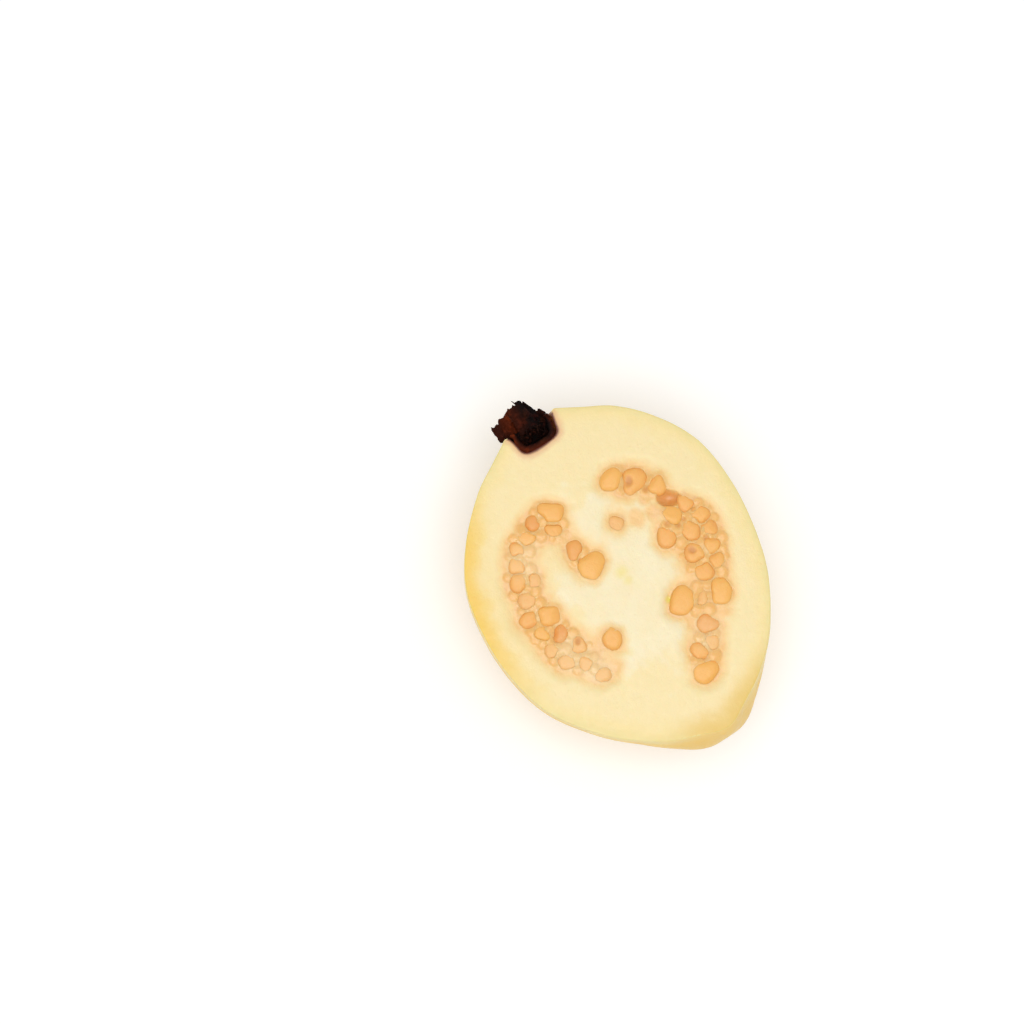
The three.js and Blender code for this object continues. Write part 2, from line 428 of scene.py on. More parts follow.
seedCount = sum(name.startswith("seed_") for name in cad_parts)
seedShape = {
    "bright": [1, 3, 5, 14, 15, 20, 21, 24, 31, 32, 39, 41],
    "deep": [17, 23, 33, 40],
    "veiled": [16, 18, 28, 29, 34, 36, 37, 38, 42],  # under a thin layer of pulp
    "hollowed": {2: 140, 10: 110, 35: 60},  # the way round, in degrees, of a small dent, darkened with painted shade
    "grown": 0.8,  # how far it may swell past its solid where no neighbour is in the way
    "between": 0.04,  # between two seeds that press on each other
    "upperHalf": 0.85,  # its top is a little flatter than its underside
    "squareness": (2.2, 2.9),  # 2 is round and more is squarer, seen from above
    "topSquareness": 3.2,
    "facets": 6,
    "facetStart": 0.88,  # how far out a flat side begins, as a share of the seed's half size
    "facetDepth": 0.7,
    "lumps": [(0.9, 0.045), (0.33, 0.014)],
    "kidney": 0.14,
    "facetSpread": (0.94, 1.1),
    "facetSoftness": 0.06,
    "dentReach": (0.1, 0.45),
    "dentDepth": 0.14,
    "dentPlace": (0.45, 0.89),  # how far out and up it lies
    "showing": 0.66,  # where the pulp meets it, as a share of its half thickness over its middle
    "showingVeiled": 0.8,
    "tilt": (0.04, 0.2),  # the pulp climbs higher on one side of it, by a share of its half thickness
    "gap": -0.05,  # between a seed and its socket: the pulp clings to it
    "outlineSteps": 72,
    "outlineBand": 0.16,  # how near the pulp's level a point is that counts in the seed's outline
    "outlineBlend": 0.12,  # over how wide an angle, in radians, such points are averaged
    "tones": {"bright": 0.35, "deep": -0.4, "spread": 0.18},
}


def unitBall():
    ball = bmesh.new()
    bmesh.ops.create_icosphere(ball, subdivisions=5, radius=1)
    points = np.array([v.co[:] for v in ball.verts])
    faces = [[v.index for v in face.verts] for face in ball.faces]
    ball.free()
    return points, faces


ballPoints, ballFaces = unitBall()

# where the banks are paler, as place, radius and strength
paleBanks = [
    (-15.4, 13.8, 5.0, 0.48), (-17.6, -7.6, 4.6, 0.55), (-15.6, -12.5, 4.2, 0.6), (8.2, -19.0, 4.2, 0.38),
]


def paleness(points):
    pale = np.zeros(len(points))
    for *place, radius, strength in paleBanks:
        pale = np.maximum(pale, strength * spot(farFrom(points, place)[0], radius, 0.5, 1.25))
    return pale


def readSeed(number):
    # a seed's middle, half sizes and turn, from its solid
    corners = fromFrame([v.co[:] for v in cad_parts[f"seed_{number:02d}"].data.vertices])
    low, high = corners.min(0), corners.max(0)
    middle = (low + high) / 2
    flat = corners[:, :2] - middle[:2]
    far = flat[np.argmax(np.hypot(flat[:, 0], flat[:, 1]))]
    turn = math.atan2(far[1], far[0])
    across = np.abs(flat @ [-math.sin(turn), math.cos(turn)]).max()
    half = np.array([np.hypot(*far), across, (high[2] - low[2]) / 2])
    return {"number": number, "middle": middle, "turn": turn, "half": half}


def halfTowards(seed, way):
    # how far a seed reaches in one direction in the cut face
    along = math.cos(way - seed["turn"]) / seed["half"][0]
    across = math.sin(way - seed["turn"]) / seed["half"][1]
    return 1 / math.hypot(along, across)


def swelling(seed, others, steps):
    # how many times larger than its solid a seed is in each direction, up to its neighbours
    own = np.array([halfTowards(seed, way) for way in steps])
    room = own + seedShape["grown"]
    for other in others:
        if other is not seed:
            apart = other["middle"] - seed["middle"]
            far, way = math.hypot(apart[0], apart[1]), math.atan2(apart[1], apart[0])
            mine, theirs = halfTowards(seed, way), halfTowards(other, way)
            border = mine + (far - mine - theirs) / 2 - seedShape["between"] / 2
            facing = np.cos(steps - way)
            room = np.where(facing > 0.05, np.minimum(room, border / np.maximum(facing, 0.05)), room)
    larger = room / own
    for _ in range(3):
        larger = np.minimum(larger, (np.roll(larger, 1) + larger + np.roll(larger, -1)) / 3)
    return larger


def shapeSeed(seed, others):
    # a seed in the place of its solid, with where and how high the pulp meets it
    number, middle, turn, half = (seed[name] for name in ("number", "middle", "turn", "half"))
    draw = np.random.default_rng(500 + number)
    power, topPower = draw.uniform(*seedShape["squareness"]), seedShape["topSquareness"]
    plan = (np.abs(ballPoints[:, :2]) ** power).sum(1)
    tall = np.abs(ballPoints[:, 2]) ** topPower
    size = (plan ** (topPower / power) + tall) ** (1 / topPower)
    shaped = ballPoints / size[:, None]
    # flat sides where neighbours have pressed on it
    for way in draw.normal(size=(seedShape["facets"], 3)):
        way = way * (1, 1, 0.5) / np.linalg.norm(way * (1, 1, 0.5))
        over = shaped @ way - seedShape["facetStart"] * draw.uniform(*seedShape["facetSpread"])
        over = (over + np.hypot(over, seedShape["facetSoftness"])) / 2
        shaped = shaped - np.outer(over * seedShape["facetDepth"], way)
    for n, (lumpSize, height) in enumerate(seedShape["lumps"]):
        shaped *= 1 + height * noiseAt(ballPoints, lumpSize, number + 40 * (n + 1))[:, None]
    shaped[:, 1] += seedShape["kidney"] * draw.uniform(-1, 1) * (shaped[:, 0] ** 2 - 0.3)
    shadedDent = np.zeros(len(ballPoints))
    if number in seedShape["hollowed"]:
        round_ = math.radians(seedShape["hollowed"][number]) - turn
        out, up = seedShape["dentPlace"]
        way = np.array([out * math.cos(round_), out * math.sin(round_), up])
        shadedDent = 1 - smoothStep(*seedShape["dentReach"], np.linalg.norm(ballPoints - way, axis=1))
        shaped -= np.outer(shadedDent * seedShape["dentDepth"], way)
    shaped /= np.abs(shaped).max(axis=0)[None, :]
    shaped[:, 2] *= np.where(shaped[:, 2] > 0, seedShape["upperHalf"], 1.0)
    sized = shaped * half
    c, s = math.cos(turn), math.sin(turn)
    placed = np.stack([sized[:, 0] * c - sized[:, 1] * s, sized[:, 0] * s + sized[:, 1] * c, sized[:, 2]], -1)
    steps = np.linspace(-math.pi, math.pi, seedShape["outlineSteps"] + 1)
    larger = swelling(seed, others, steps[:-1])
    around = np.arctan2(placed[:, 1], placed[:, 0])
    placed[:, :2] *= np.interp(around, steps, np.r_[larger, larger[0]])[:, None]
    veiled = number in seedShape["veiled"]
    level = seedShape["showingVeiled" if veiled else "showing"] * seedShape["upperHalf"] * half[2]
    tilt = draw.uniform(*seedShape["tilt"]) * half[2]
    tiltWay = draw.uniform(-math.pi, math.pi)
    meeting = level + tilt * np.cos(around - tiltWay)
    band = placed[np.abs(placed[:, 2] - meeting) < seedShape["outlineBand"]]
    ways = np.arctan2(band[:, 1], band[:, 0])
    apart = np.angle(np.exp(1j * (steps[:, None] - ways[None, :])))
    weights = fading(apart, seedShape["outlineBlend"]) + 1e-9
    outline = (weights * np.hypot(band[:, 0], band[:, 1])).sum(1) / weights.sum(1)
    tones = seedShape["tones"]
    tone = 0.5 + draw.uniform(-tones["spread"], tones["spread"])
    tone += sum(tones[kind] for kind in ("bright", "deep") if number in seedShape[kind])
    attributes = {
        "tone": np.full(len(placed), tone),
        # 0 where the pulp meets it and 1 at its top, for the painted light on its top
        "litCrown": (placed[:, 2] - level) / (placed[:, 2].max() - level),
        "veil": np.full(len(placed), float(veiled)),
        "shadedDent": shadedDent,
        "pale": paleness(placed + middle),
    }
    return {"number": number, "middle": middle, "level": middle[2] + level, "tilt": (tilt, tiltWay),
            "bottom": middle[2] - half[2], "steps": steps, "outline": outline, "points": placed + middle,
            "attributes": attributes}


solids = [readSeed(number + 1) for number in range(seedCount)]
seeds = [shapeSeed(seed, solids) for seed in solids]
print("shaped", len(seeds), "seeds")

flesh = {
    "spacing": 0.31,  # between the points of the cut face
    "fieldClear": 0.6,  # how far its even field keeps from the rings and from the edge, in spacings
    "edgeClear": 0.5,
    "rings": [(0.9, 0), (1, 0), (1, 0.2)],  # round each seed: a share of its outline, and how far outside
    "ringClear": 1.03,
    "edgeDrops": [(0.0, -0.1), (0.13, -0.03), (0.32, 0.0)],  # the rounded cut edge: how far in, and how low
    "crowding": 1.5,  # how far off the seeds of a bank still draw its edge outwards together
    "levelling": 0.03,  # how softly the levels that the seeds give it blend, in square millimetres
    "dishReach": (0.2, 2.7),  # how far the sunken pulp goes beyond the seeds
    "pulpReach": (0.0, 0.85),
    "haloReach": (0.3, 2.2),
    "pulpLumps": (0.1, 0.04),
    "meniscus": (0.08, 0.35),  # how high the pulp climbs at a seed, and how far off that fades
    # seeds just under the pulp: where there's room for one, its radius, and how high it lifts the pulp
    "buried": {
        "outside": -0.35, "room": 0.48, "apart": 0.85, "overlap": 0.25, "largest": 1.4, "height": 0.34,
        "wander": 0.15, "colourReach": (0.2, 0.8),
    },
    "wander": 0.35,  # how far the edge of the pulp strays
    # size, height, draw and octaves
    "unevenness": [(14.0, 0.05, 13, 1), (2.6, 0.018, 14, 2), (0.75, 0.008, 12, 2)],
    # where the rim turns yellow: how far across and along the face that comes in
    "leftRim": {"across": (-12, -26), "along": (-16, 8)},
    "stemRim": {"across": (-11, -3), "along": (-27.5, -35.5), "slant": 0.12, "least": 0.3},
    "basinReach": (5.4, 9),  # how far to the side and below the lip the cut edge belongs to the basin
    # a socket whose seed has gone; its dark is painted shade in the socket
    "emptySocket": {
        "at": (16.9, 8.9), "half": (2.6, 1.95), "turn": -33, "depth": 1.7,
        "wander": 0.08, "steepness": 0.65, "smoothed": 0.8, "dark": 0.8,
    },
    "core": {"middle": (-0.3, -1.3), "half": (14.0, 20.0)},
    # small hollows between seeds, darkened with painted shade: place, radius and depth
    "hollows": [
        (18.9, -2.3, 0.7, 0.3), (-16.1, 17.6, 0.4, 0.24), (-15.3, -6.9, 0.8, 0.24), (-20.9, 4.2, 0.7, 0.3),
        (17.2, -14.0, 0.5, 0.3), (-5.8, 8.1, 0.6, 0.36), (14.0, 13.1, 0.8, 0.42), (13.7, 4.6, 0.7, 0.3),
        (15.5, 3.1, 0.6, 0.3), (17.1, 3.6, 0.6, 0.3), (20.0, 4.2, 0.5, 0.3), (4.6, -22.8, 0.6, 0.3),
    ],
    "hollowWander": 0.25,
    # how strong the painted shade is in the hollows and in the sockets under the seeds
    "hollowShading": 0.7,
    "socketShading": 0.4,
    # patches of peach pulp with no seed showing: place, radius and strength
    "peach": [
        (13.0, 8.0, 2.2, 0.7), (9.0, 9.1, 2.0, 0.5), (13.3, -16.8, 2.0, 0.8), (12.4, -11.4, 1.8, 0.8),
        (-19.0, -6.6, 2.4, 0.8), (-17.1, -10.7, 2.8, 0.8), (-15.0, -13.3, 2.8, 0.8), (-12.7, -14.3, 2.4, 0.7),
        (12.8, 11.7, 1.8, 0.7), (-13.5, 14.2, 1.6, 0.5), (-15.8, 5.1, 1.4, 0.4),
    ],
    "peachWander": 0.4,
    # faint green flecks: place, radius and strength
    "greenish": [(0.1, 1.3, 1.6, 0.45), (0.3, -0.8, 1.2, 0.4), (5.3, -8.9, 0.85, 1.0)],
}


def reachOf(points, middle, half, turn):
    # 0 at the middle of an oval and 1 at its edge
    across = points[:, :2] - np.asarray(middle)[:2]
    c, s = math.cos(turn), math.sin(turn)
    return np.hypot((across @ [c, s]) / half[0], (across @ [-s, c]) / half[1])


def socketEdge(seed, way):
    return np.interp(way, seed["steps"], seed["outline"]) + seedShape["gap"]


def seedReach(points, seed):
    # 0 at a seed's middle and 1 where the pulp meets it, and how far outside that a point is
    far, way = farFrom(points, seed["middle"])
    edge = socketEdge(seed, way)
    return far / edge, far - edge


def meetingLevel(points, seed):
    tilt, tiltWay = seed["tilt"]
    return seed["level"] + tilt * np.cos(farFrom(points, seed["middle"])[1] - tiltWay)


def farFromAny(places, points):
    # how far each place is from the nearest of some points
    tree = kdtree.KDTree(len(points))
    for n, point in enumerate(points):
        tree.insert((point[0], point[1], 0), n)
    tree.balance()
    return np.array([tree.find((place[0], place[1], 0))[2] for place in places])


def insideLoop(points, loop):
    inside = np.zeros(len(points), bool)
    for a, b in zip(loop, np.roll(loop, -1, axis=0)):
        if a[1] != b[1]:
            x = a[0] + (points[:, 1] - a[1]) * (b[0] - a[0]) / (b[1] - a[1])
            inside ^= ((a[1] > points[:, 1]) != (b[1] > points[:, 1])) & (points[:, 0] < x)
    return inside


def denser(loop):
    # the same loop with three more points on every step
    following = np.roll(loop, -1, axis=0)
    return np.vstack([between(loop, following, n / 4) for n in range(4)])


def facePoints(loop):
    # rows just inside the cut edge, rings round the seeds, and an even field of points elsewhere
    following, previous = np.roll(loop, -1, axis=0), np.roll(loop, 1, axis=0)
    way = following - previous
    inward = np.stack([-way[:, 1], way[:, 0]], -1) / np.linalg.norm(way, axis=1)[:, None]
    area = np.sum(loop[:, 0] * following[:, 1] - following[:, 0] * loop[:, 1])
    inward = inward * np.sign(area)
    rows = [loop + inward * far for far, _ in flesh["edgeDrops"][1:]]
    rings = []
    for seed in seeds:
        count = int(2 * math.pi * seed["outline"].mean() / flesh["spacing"])
        angle = np.linspace(-math.pi, math.pi, count, endpoint=False)
        for share, extra in flesh["rings"]:
            radius = socketEdge(seed, angle) * share + extra
            ring = np.stack([radius * np.cos(angle), radius * np.sin(angle)], -1) + seed["middle"][:2]
            clear = np.ones(len(ring), bool)
            for other in seeds:
                if other is not seed:
                    clear &= seedReach(ring, other)[0] > flesh["ringClear"]
            rings.append(ring[clear])
    step = flesh["spacing"]
    low, high = loop.min(0), loop.max(0)
    field = []
    for n, y in enumerate(np.arange(low[1], high[1], step * math.sqrt(3) / 2)):
        line = np.arange(low[0] + step / 2 * (n % 2), high[0], step)
        field.append(np.c_[line, np.full(len(line), y)])
    field, fixed = np.vstack(field), np.vstack(rings)
    field = field[farFromAny(field, fixed) > step * flesh["fieldClear"]]
    inner = np.vstack([fixed, field])
    inner = inner[insideLoop(inner, loop)]
    inner = inner[farFromAny(inner, denser(loop)) > flesh["edgeDrops"][-1][0] + step * flesh["edgeClear"]]
    return rows, inner


def buriedSeeds(points, away, outside):
    # places for seeds that lie just under the pulp, wherever there is room between the others
    found, limits = [], flesh["buried"]
    room = np.where(outside < limits["outside"], away, 0)
    for n in np.argsort(-room, kind="stable"):
        if room[n] < limits["room"]:
            break
        radius, here = min(away[n] + limits["overlap"], limits["largest"]), points[n, :2]
        if all(math.hypot(*(here - place)) > limits["apart"] * (radius + other) for place, other in found):
            found.append((here, radius))
    print("buried seeds:", len(found))
    return found


def amongSeeds(points):
    # the level that the seeds give each point, how far outside their banks it is, and how far from a seed
    total, nearest = np.zeros(len(points)), np.full(len(points), 99.0)
    weight, crowd = np.full(len(points), 1e-9), np.full(len(points), 1e-9)
    for seed in seeds:
        away = np.maximum(seedReach(points, seed)[1], 0)
        pull = 1 / (away**2 + flesh["levelling"])
        total += pull * meetingLevel(points, seed)
        weight += pull
        crowd += np.exp(-away / flesh["crowding"])
        nearest = np.minimum(nearest, away)
    return total / weight, -flesh["crowding"] * np.log(crowd), nearest


def faceHeights(points):
    # how high the cut face stands at each point, and the masks that colour its banks of seeds
    level, outside, nearest = amongSeeds(points)
    flat = np.c_[points[:, :2], np.zeros(len(points))]
    coarse, fine = noiseAt(flat, 1.9, 11), noiseAt(flat, 0.75, 12)
    # pulp fills the places between seeds before it spreads outwards
    outside = outside + flesh["wander"] * coarse
    reaches = [flesh[name] for name in ("dishReach", "pulpReach", "haloReach")]
    dished, pulp, halo = (1 - smoothStep(*reach, outside) for reach in reaches)
    for *place, radius, strength in flesh["peach"]:
        away = farFrom(points, place)[0] + flesh["peachWander"] * coarse
        pulp = np.maximum(pulp, strength * spot(away, radius, 0.4, 1.3))
        halo = np.maximum(halo, spot(away, radius, 0.5, 1.8))
    coarseLumps, fineLumps = flesh["pulpLumps"]
    height = level * dished + pulp * (coarseLumps * coarse + fineLumps * fine)
    buried = np.zeros(len(points))
    for place, radius in buriedSeeds(points, nearest, outside):
        reach = np.linalg.norm(points[:, :2] - place, axis=1) / radius
        reach = reach * (1 + flesh["buried"]["wander"] * coarse)
        dome = np.sqrt(np.clip(1 - reach**2, 0, 1))
        height += flesh["buried"]["height"] * radius * dome
        buried = np.maximum(buried, smoothStep(*flesh["buried"]["colourReach"], dome))
    climb, reach = flesh["meniscus"]
    height += climb * fading(nearest, reach)
    height += sum(rise * noiseAt(flat, size, *draw) for size, rise, *draw in flesh["unevenness"])
    # painted shade in the hollows between seeds
    hollowShade = np.zeros(len(points))
    for *place, radius, depth in flesh["hollows"]:
        away = farFrom(points, place)[0] * (1 + flesh["hollowWander"] * coarse)
        sunk = spot(away, radius, 0.1, 1.5)
        height -= depth * sunk
        hollowShade = np.maximum(hollowShade, flesh["hollowShading"] * sunk)
    socket = flesh["emptySocket"]
    reach = reachOf(points, socket["at"], socket["half"], math.radians(socket["turn"]))
    reach = reach * (1 + socket["wander"] * coarse)
    bowl = np.clip(1 - reach**2, 0, 1) ** socket["steepness"]
    height = height * (1 - socket["smoothed"] * bowl) - socket["depth"] * bowl
    # painted shade in the empty socket
    hollowShade = np.maximum(hollowShade, socket["dark"] * smoothStep(0.1, 0.9, bowl))
    pale = pulp * paleness(points)
    return height, {"pulp": pulp, "halo": halo, "hollowShade": hollowShade, "buried": buried, "pale": pale}


def sinkSockets(points, height, hollowShade):
    # points under a seed go down round the wall of its socket, and get painted shade like the hollows
    placed = np.c_[points[:, :2], height]
    for seed in seeds:
        reach = seedReach(points, seed)[0]
        under = reach < 1 - 1e-4
        share = np.maximum(reach[under], 1e-6)
        spread = (1 - (1 - share) ** 3) / share
        placed[under, :2] = seed["middle"][:2] + (points[under, :2] - seed["middle"][:2]) * spread[:, None]
        edge = meetingLevel(points[under], seed)
        placed[under, 2] = between(seed["bottom"] - seedShape["gap"], edge, (1 - np.cos(math.pi * share)) / 2)
        hollowShade[under] = np.maximum(hollowShade[under], flesh["socketShading"])
    return placed


def faceMasks(points, loop, inBasin):
    # how far in the cut edge and the core are, and the masks that colour the rims and the flecks
    across, along, core = points[:, 0], points[:, 1], flesh["core"]
    left, stem = flesh["leftRim"], flesh["stemRim"]
    green = np.zeros(len(points))
    for *place, radius, strength in flesh["greenish"]:
        green = np.maximum(green, strength * spot(farFrom(points, place)[0], radius, 0.1, 1.4))
    stemRim = smoothStep(*stem["along"], along - stem["slant"] * across)
    return {
        "rim": farFromAny(points, denser(loop[~inBasin])),
        "stain": farFromAny(points, denser(loop[inBasin])),
        "core": reachOf(points, core["middle"], core["half"], 0),
        "leftRim": smoothStep(*left["across"], across) * smoothStep(*left["along"], along),
        "stemRim": stemRim * between(stem["least"], 1.0, smoothStep(*stem["across"], across)),
        "green": green,
    }


def skinMasks(points):
    # how far along the fruit and how far down a point is, and the masks for the scar and the calyx lip
    along, x, z = axisAt(points[:, 1])
    along, fromAxis = np.clip(along, 0, 1), np.hypot(points[:, 0] - x, points[:, 2] - z)
    belowLip = (lipY - points[:, 1]) * (fromAxis > skin["wallRadius"])
    lipAway = np.hypot(np.maximum(fromAxis - skin["lipRadius"], 0), belowLip)
    return {
        "along": along,
        "under": np.clip(-points[:, 2] / faceMiddle[2], 0, 1),
        "scar": spot(fromAxis, skin["scarRadius"], 0.8, 1.15) * (along < skin["endShare"]),
        "lip": spot(lipAway, skin["lipWidth"], 0.0, 1.0) * (along > 1 - skin["endShare"]),
    }


def onlyUsed(points, faces, attributes):
    # without the points that no face uses
    used = np.zeros(len(points), bool)
    used[np.unique(np.concatenate(faces))] = True
    number = np.cumsum(used) - 1
    faces = [[int(number[corner]) for corner in face] for face in faces]
    return points[used], faces, {name: values[used] for name, values in attributes.items()}


def sharpenBetweenMaterials(mesh):
    # shading turns sharply where the flesh meets the skin
    kindsAt = {}
    for polygon in mesh.polygons:
        for key in polygon.edge_keys:
            kindsAt.setdefault(key, set()).add(polygon.material_index)
    flags = [len(kindsAt[edge.key]) > 1 for edge in mesh.edges]
    mesh.attributes.new("sharp_edge", "BOOLEAN", "EDGE").data.foreach_set("value", flags)
    print("the cut edge has", sum(flags), "steps")


def buildFruit(skinMaterial, fleshMaterial):
    skinPoints, skinFaces, loopIndex = buildSkin()
    print("skin has", len(skinFaces), "faces")
    loop = skinPoints[loopIndex, :2]
    rows, inner = facePoints(loop)
    count = len(loop)
    flat = np.vstack([loop, *rows, inner])
    edges = [(n, (n + 1) % count) for n in range(count)]
    placed, _, triangles, origins = delaunay_2d_cdt([Vector(p) for p in flat], edges, [], 1, 1e-7, True)[:4]
    placed = np.array([p[:] for p in placed])
    source = np.array([o[0] if o else -1 for o in origins])
    # the mouth of the basin isn't part of the cut face
    inside = insideLoop(np.array([placed[list(corners)].mean(0) for corners in triangles]), loop)
    triangles = [corners for corners, kept in zip(triangles, inside) if kept]
    print("cut face has", len(triangles), "faces")
    height, marks = faceHeights(placed)
    drops = flesh["edgeDrops"]
    for row, (_, drop) in enumerate(drops):
        onRow = (source >= row * count) & (source < (row + 1) * count)
        height[onRow], marks["hollowShade"][onRow] = height[onRow] * (row / len(drops)) + drop, 0
    solid = sinkSockets(placed, height, marks["hollowShade"])
    onEdge = source < count * len(drops)
    solid[onEdge] = np.c_[placed, height][onEdge]
    aside, below = flesh["basinReach"]
    inBasin = (loop[:, 1] > lipY - below) & (np.abs(loop[:, 0] - axisAt(lipY)[1]) < aside)
    marks.update(faceMasks(placed, loop, inBasin))
    # the two surfaces share the points of the cut edge
    shared = (source >= 0) & (source < count)
    own = len(skinPoints) + np.arange(len(placed))
    target = np.where(shared, loopIndex[np.clip(source, 0, count - 1)], own)
    skinPoints[:, 2] += drops[0][1] * np.exp(skinPoints[:, 2] / skin["edgeFall"])
    points = np.vstack([skinPoints, solid])
    faces = skinFaces + [[int(target[corner]) for corner in face] for face in triangles]
    attributes = skinMasks(points)
    # on the skin the rim is the way down from the cut, and the stain and the core are out of reach
    onSkinOnly = {"rim": -skinPoints[:, 2], "stain": 99.0, "core": 9.0}
    for name, values in marks.items():
        start = np.zeros(len(skinPoints)) + onSkinOnly.get(name, 0.0)
        attributes[name] = np.r_[start, values]
    attributes["rim"][loopIndex] = 0
    attributes["stain"][loopIndex[inBasin]] = 0
    points, faces, attributes = onlyUsed(points, faces, attributes)
    piece = makePiece("fruitHalf", points, faces, skinMaterial, ["fruit_half"], attributes)
    mesh = piece.data
    mesh.materials.append(fleshMaterial)
    kinds = np.r_[np.zeros(len(skinFaces), int), np.ones(len(triangles), int)]
    mesh.polygons.foreach_set("material_index", kinds)
    sharpenBetweenMaterials(mesh)
    print("fruit half has", len(mesh.vertices), "points")
    return piece


skinLook = {
    "yellow": rgb(254, 209, 86),
    "paleYellow": rgb(254, 219, 108),
    "deepYellow": rgb(248, 188, 58),
    "neck": rgb(247, 212, 96),
    "stemEnd": rgb(247, 204, 108),
    # deeper yellow underneath: partly the fruit's own colour, partly painted shade under the fruit
    "underTintAndShade": rgb(240, 180, 66),
    "freckle": rgb(160, 122, 48),
    "scar": rgb(132, 98, 56),
    "lip": rgb(176, 104, 52),
    "cutEdge": rgb(251, 229, 156),
}


def skinMaterial():
    material, tree, shader, place = newMaterial("guavaSkin")
    pale = useGroup(tree, blotches, Place=place, Size=16.0, Low=0.42, High=0.66)
    deep = useGroup(tree, blotches, Place=place, Size=7.0, Detail=5.0, Low=0.5, High=0.72)
    patches = useGroup(tree, blotches, Place=place, Size=11.0, Low=0.42, High=0.68)
    crust = useGroup(tree, blotches, Place=place, Size=0.8, Detail=6.0, Low=0.3, High=0.6)
    freckles = useGroup(tree, specks, Place=place, Size=2.6, Reach=0.26, Share=0.3)
    fine = useGroup(tree, specks, Place=place, Size=1.1, Reach=0.24, Share=0.4)
    along = attribute(tree, "along")
    freckled = times(tree, freckles, times(tree, ramp(tree, along, 0.75, 0.2, 0.12, 1.0), patches))
    scar = times(tree, attribute(tree, "scar"), ramp(tree, crust, 0.0, 1.0, 0.6, 1.0))
    colour = layered(tree, skinLook["yellow"], skinLook, [
        ("paleYellow", times(tree, pale, 0.7)),
        ("deepYellow", times(tree, deep, 0.45)),
        ("neck", ramp(tree, along, 0.72, 1.0, 0.0, 0.75)),
        # darker towards the bottom: the fruit's deeper yellow with painted shade
        ("underTintAndShade", ramp(tree, attribute(tree, "under"), 0.35, 1.0, 0.0, 0.6)),
        ("freckle", times(tree, freckled, 0.55)),
        ("freckle", times(tree, fine, 0.16)),
        # light comes through the flesh just under the cut
        ("cutEdge", ramp(tree, attribute(tree, "rim"), 3.0, 0.3, 0.0, 0.82)),
        ("stemEnd", ramp(tree, along, 0.1, 0.02, 0.0, 0.8)),
        ("lip", attribute(tree, "lip")),
        ("scar", scar),
    ])
    pores = useGroup(tree, grain, Place=place, Size=0.9, Cells=0.75)
    dimples = useGroup(tree, blotches, Place=place, Size=2.4, Low=0.2, High=0.8)
    rough = maths(tree, "ADD", ramp(tree, pores, 0.0, 1.0, 0.34, 0.5), times(tree, scar, 0.4))
    join(tree, shader, Base_Color=colour, Roughness=rough,
         Normal=bump(tree, pores, 0.05, bump(tree, dimples, 0.12)),
         Subsurface_Weight=0.12, Subsurface_Radius=(1.0, 0.75, 0.3), Subsurface_Scale=1.2 * mm,
         Coat_Weight=0.12, Coat_Roughness=0.3)
    return material


fleshLook = {
    "cream": rgb(250, 228, 172),
    "outer": rgb(249, 226, 160),
    "rim": rgb(240, 221, 154),
    "leftRim": rgb(246, 203, 84),
    "stemRim": rgb(234, 198, 106),
    "core": rgb(251, 237, 200),
    "coreShade": rgb(250, 232, 188),
    "halo": rgb(249, 212, 146),
    "pulp": rgb(245, 192, 118),
    "pulpPink": rgb(243, 189, 134),
    "buried": rgb(246, 186, 104),
    "pale": rgb(249, 218, 166),
    # painted shade in the hollows between seeds and in the sockets
    "hollowShade": rgb(220, 146, 66),
    "cell": rgb(232, 200, 130),
    "greenish": rgb(236, 216, 84),
    "stain": rgb(228, 174, 128),
    "stainDark": rgb(96, 36, 18),
}


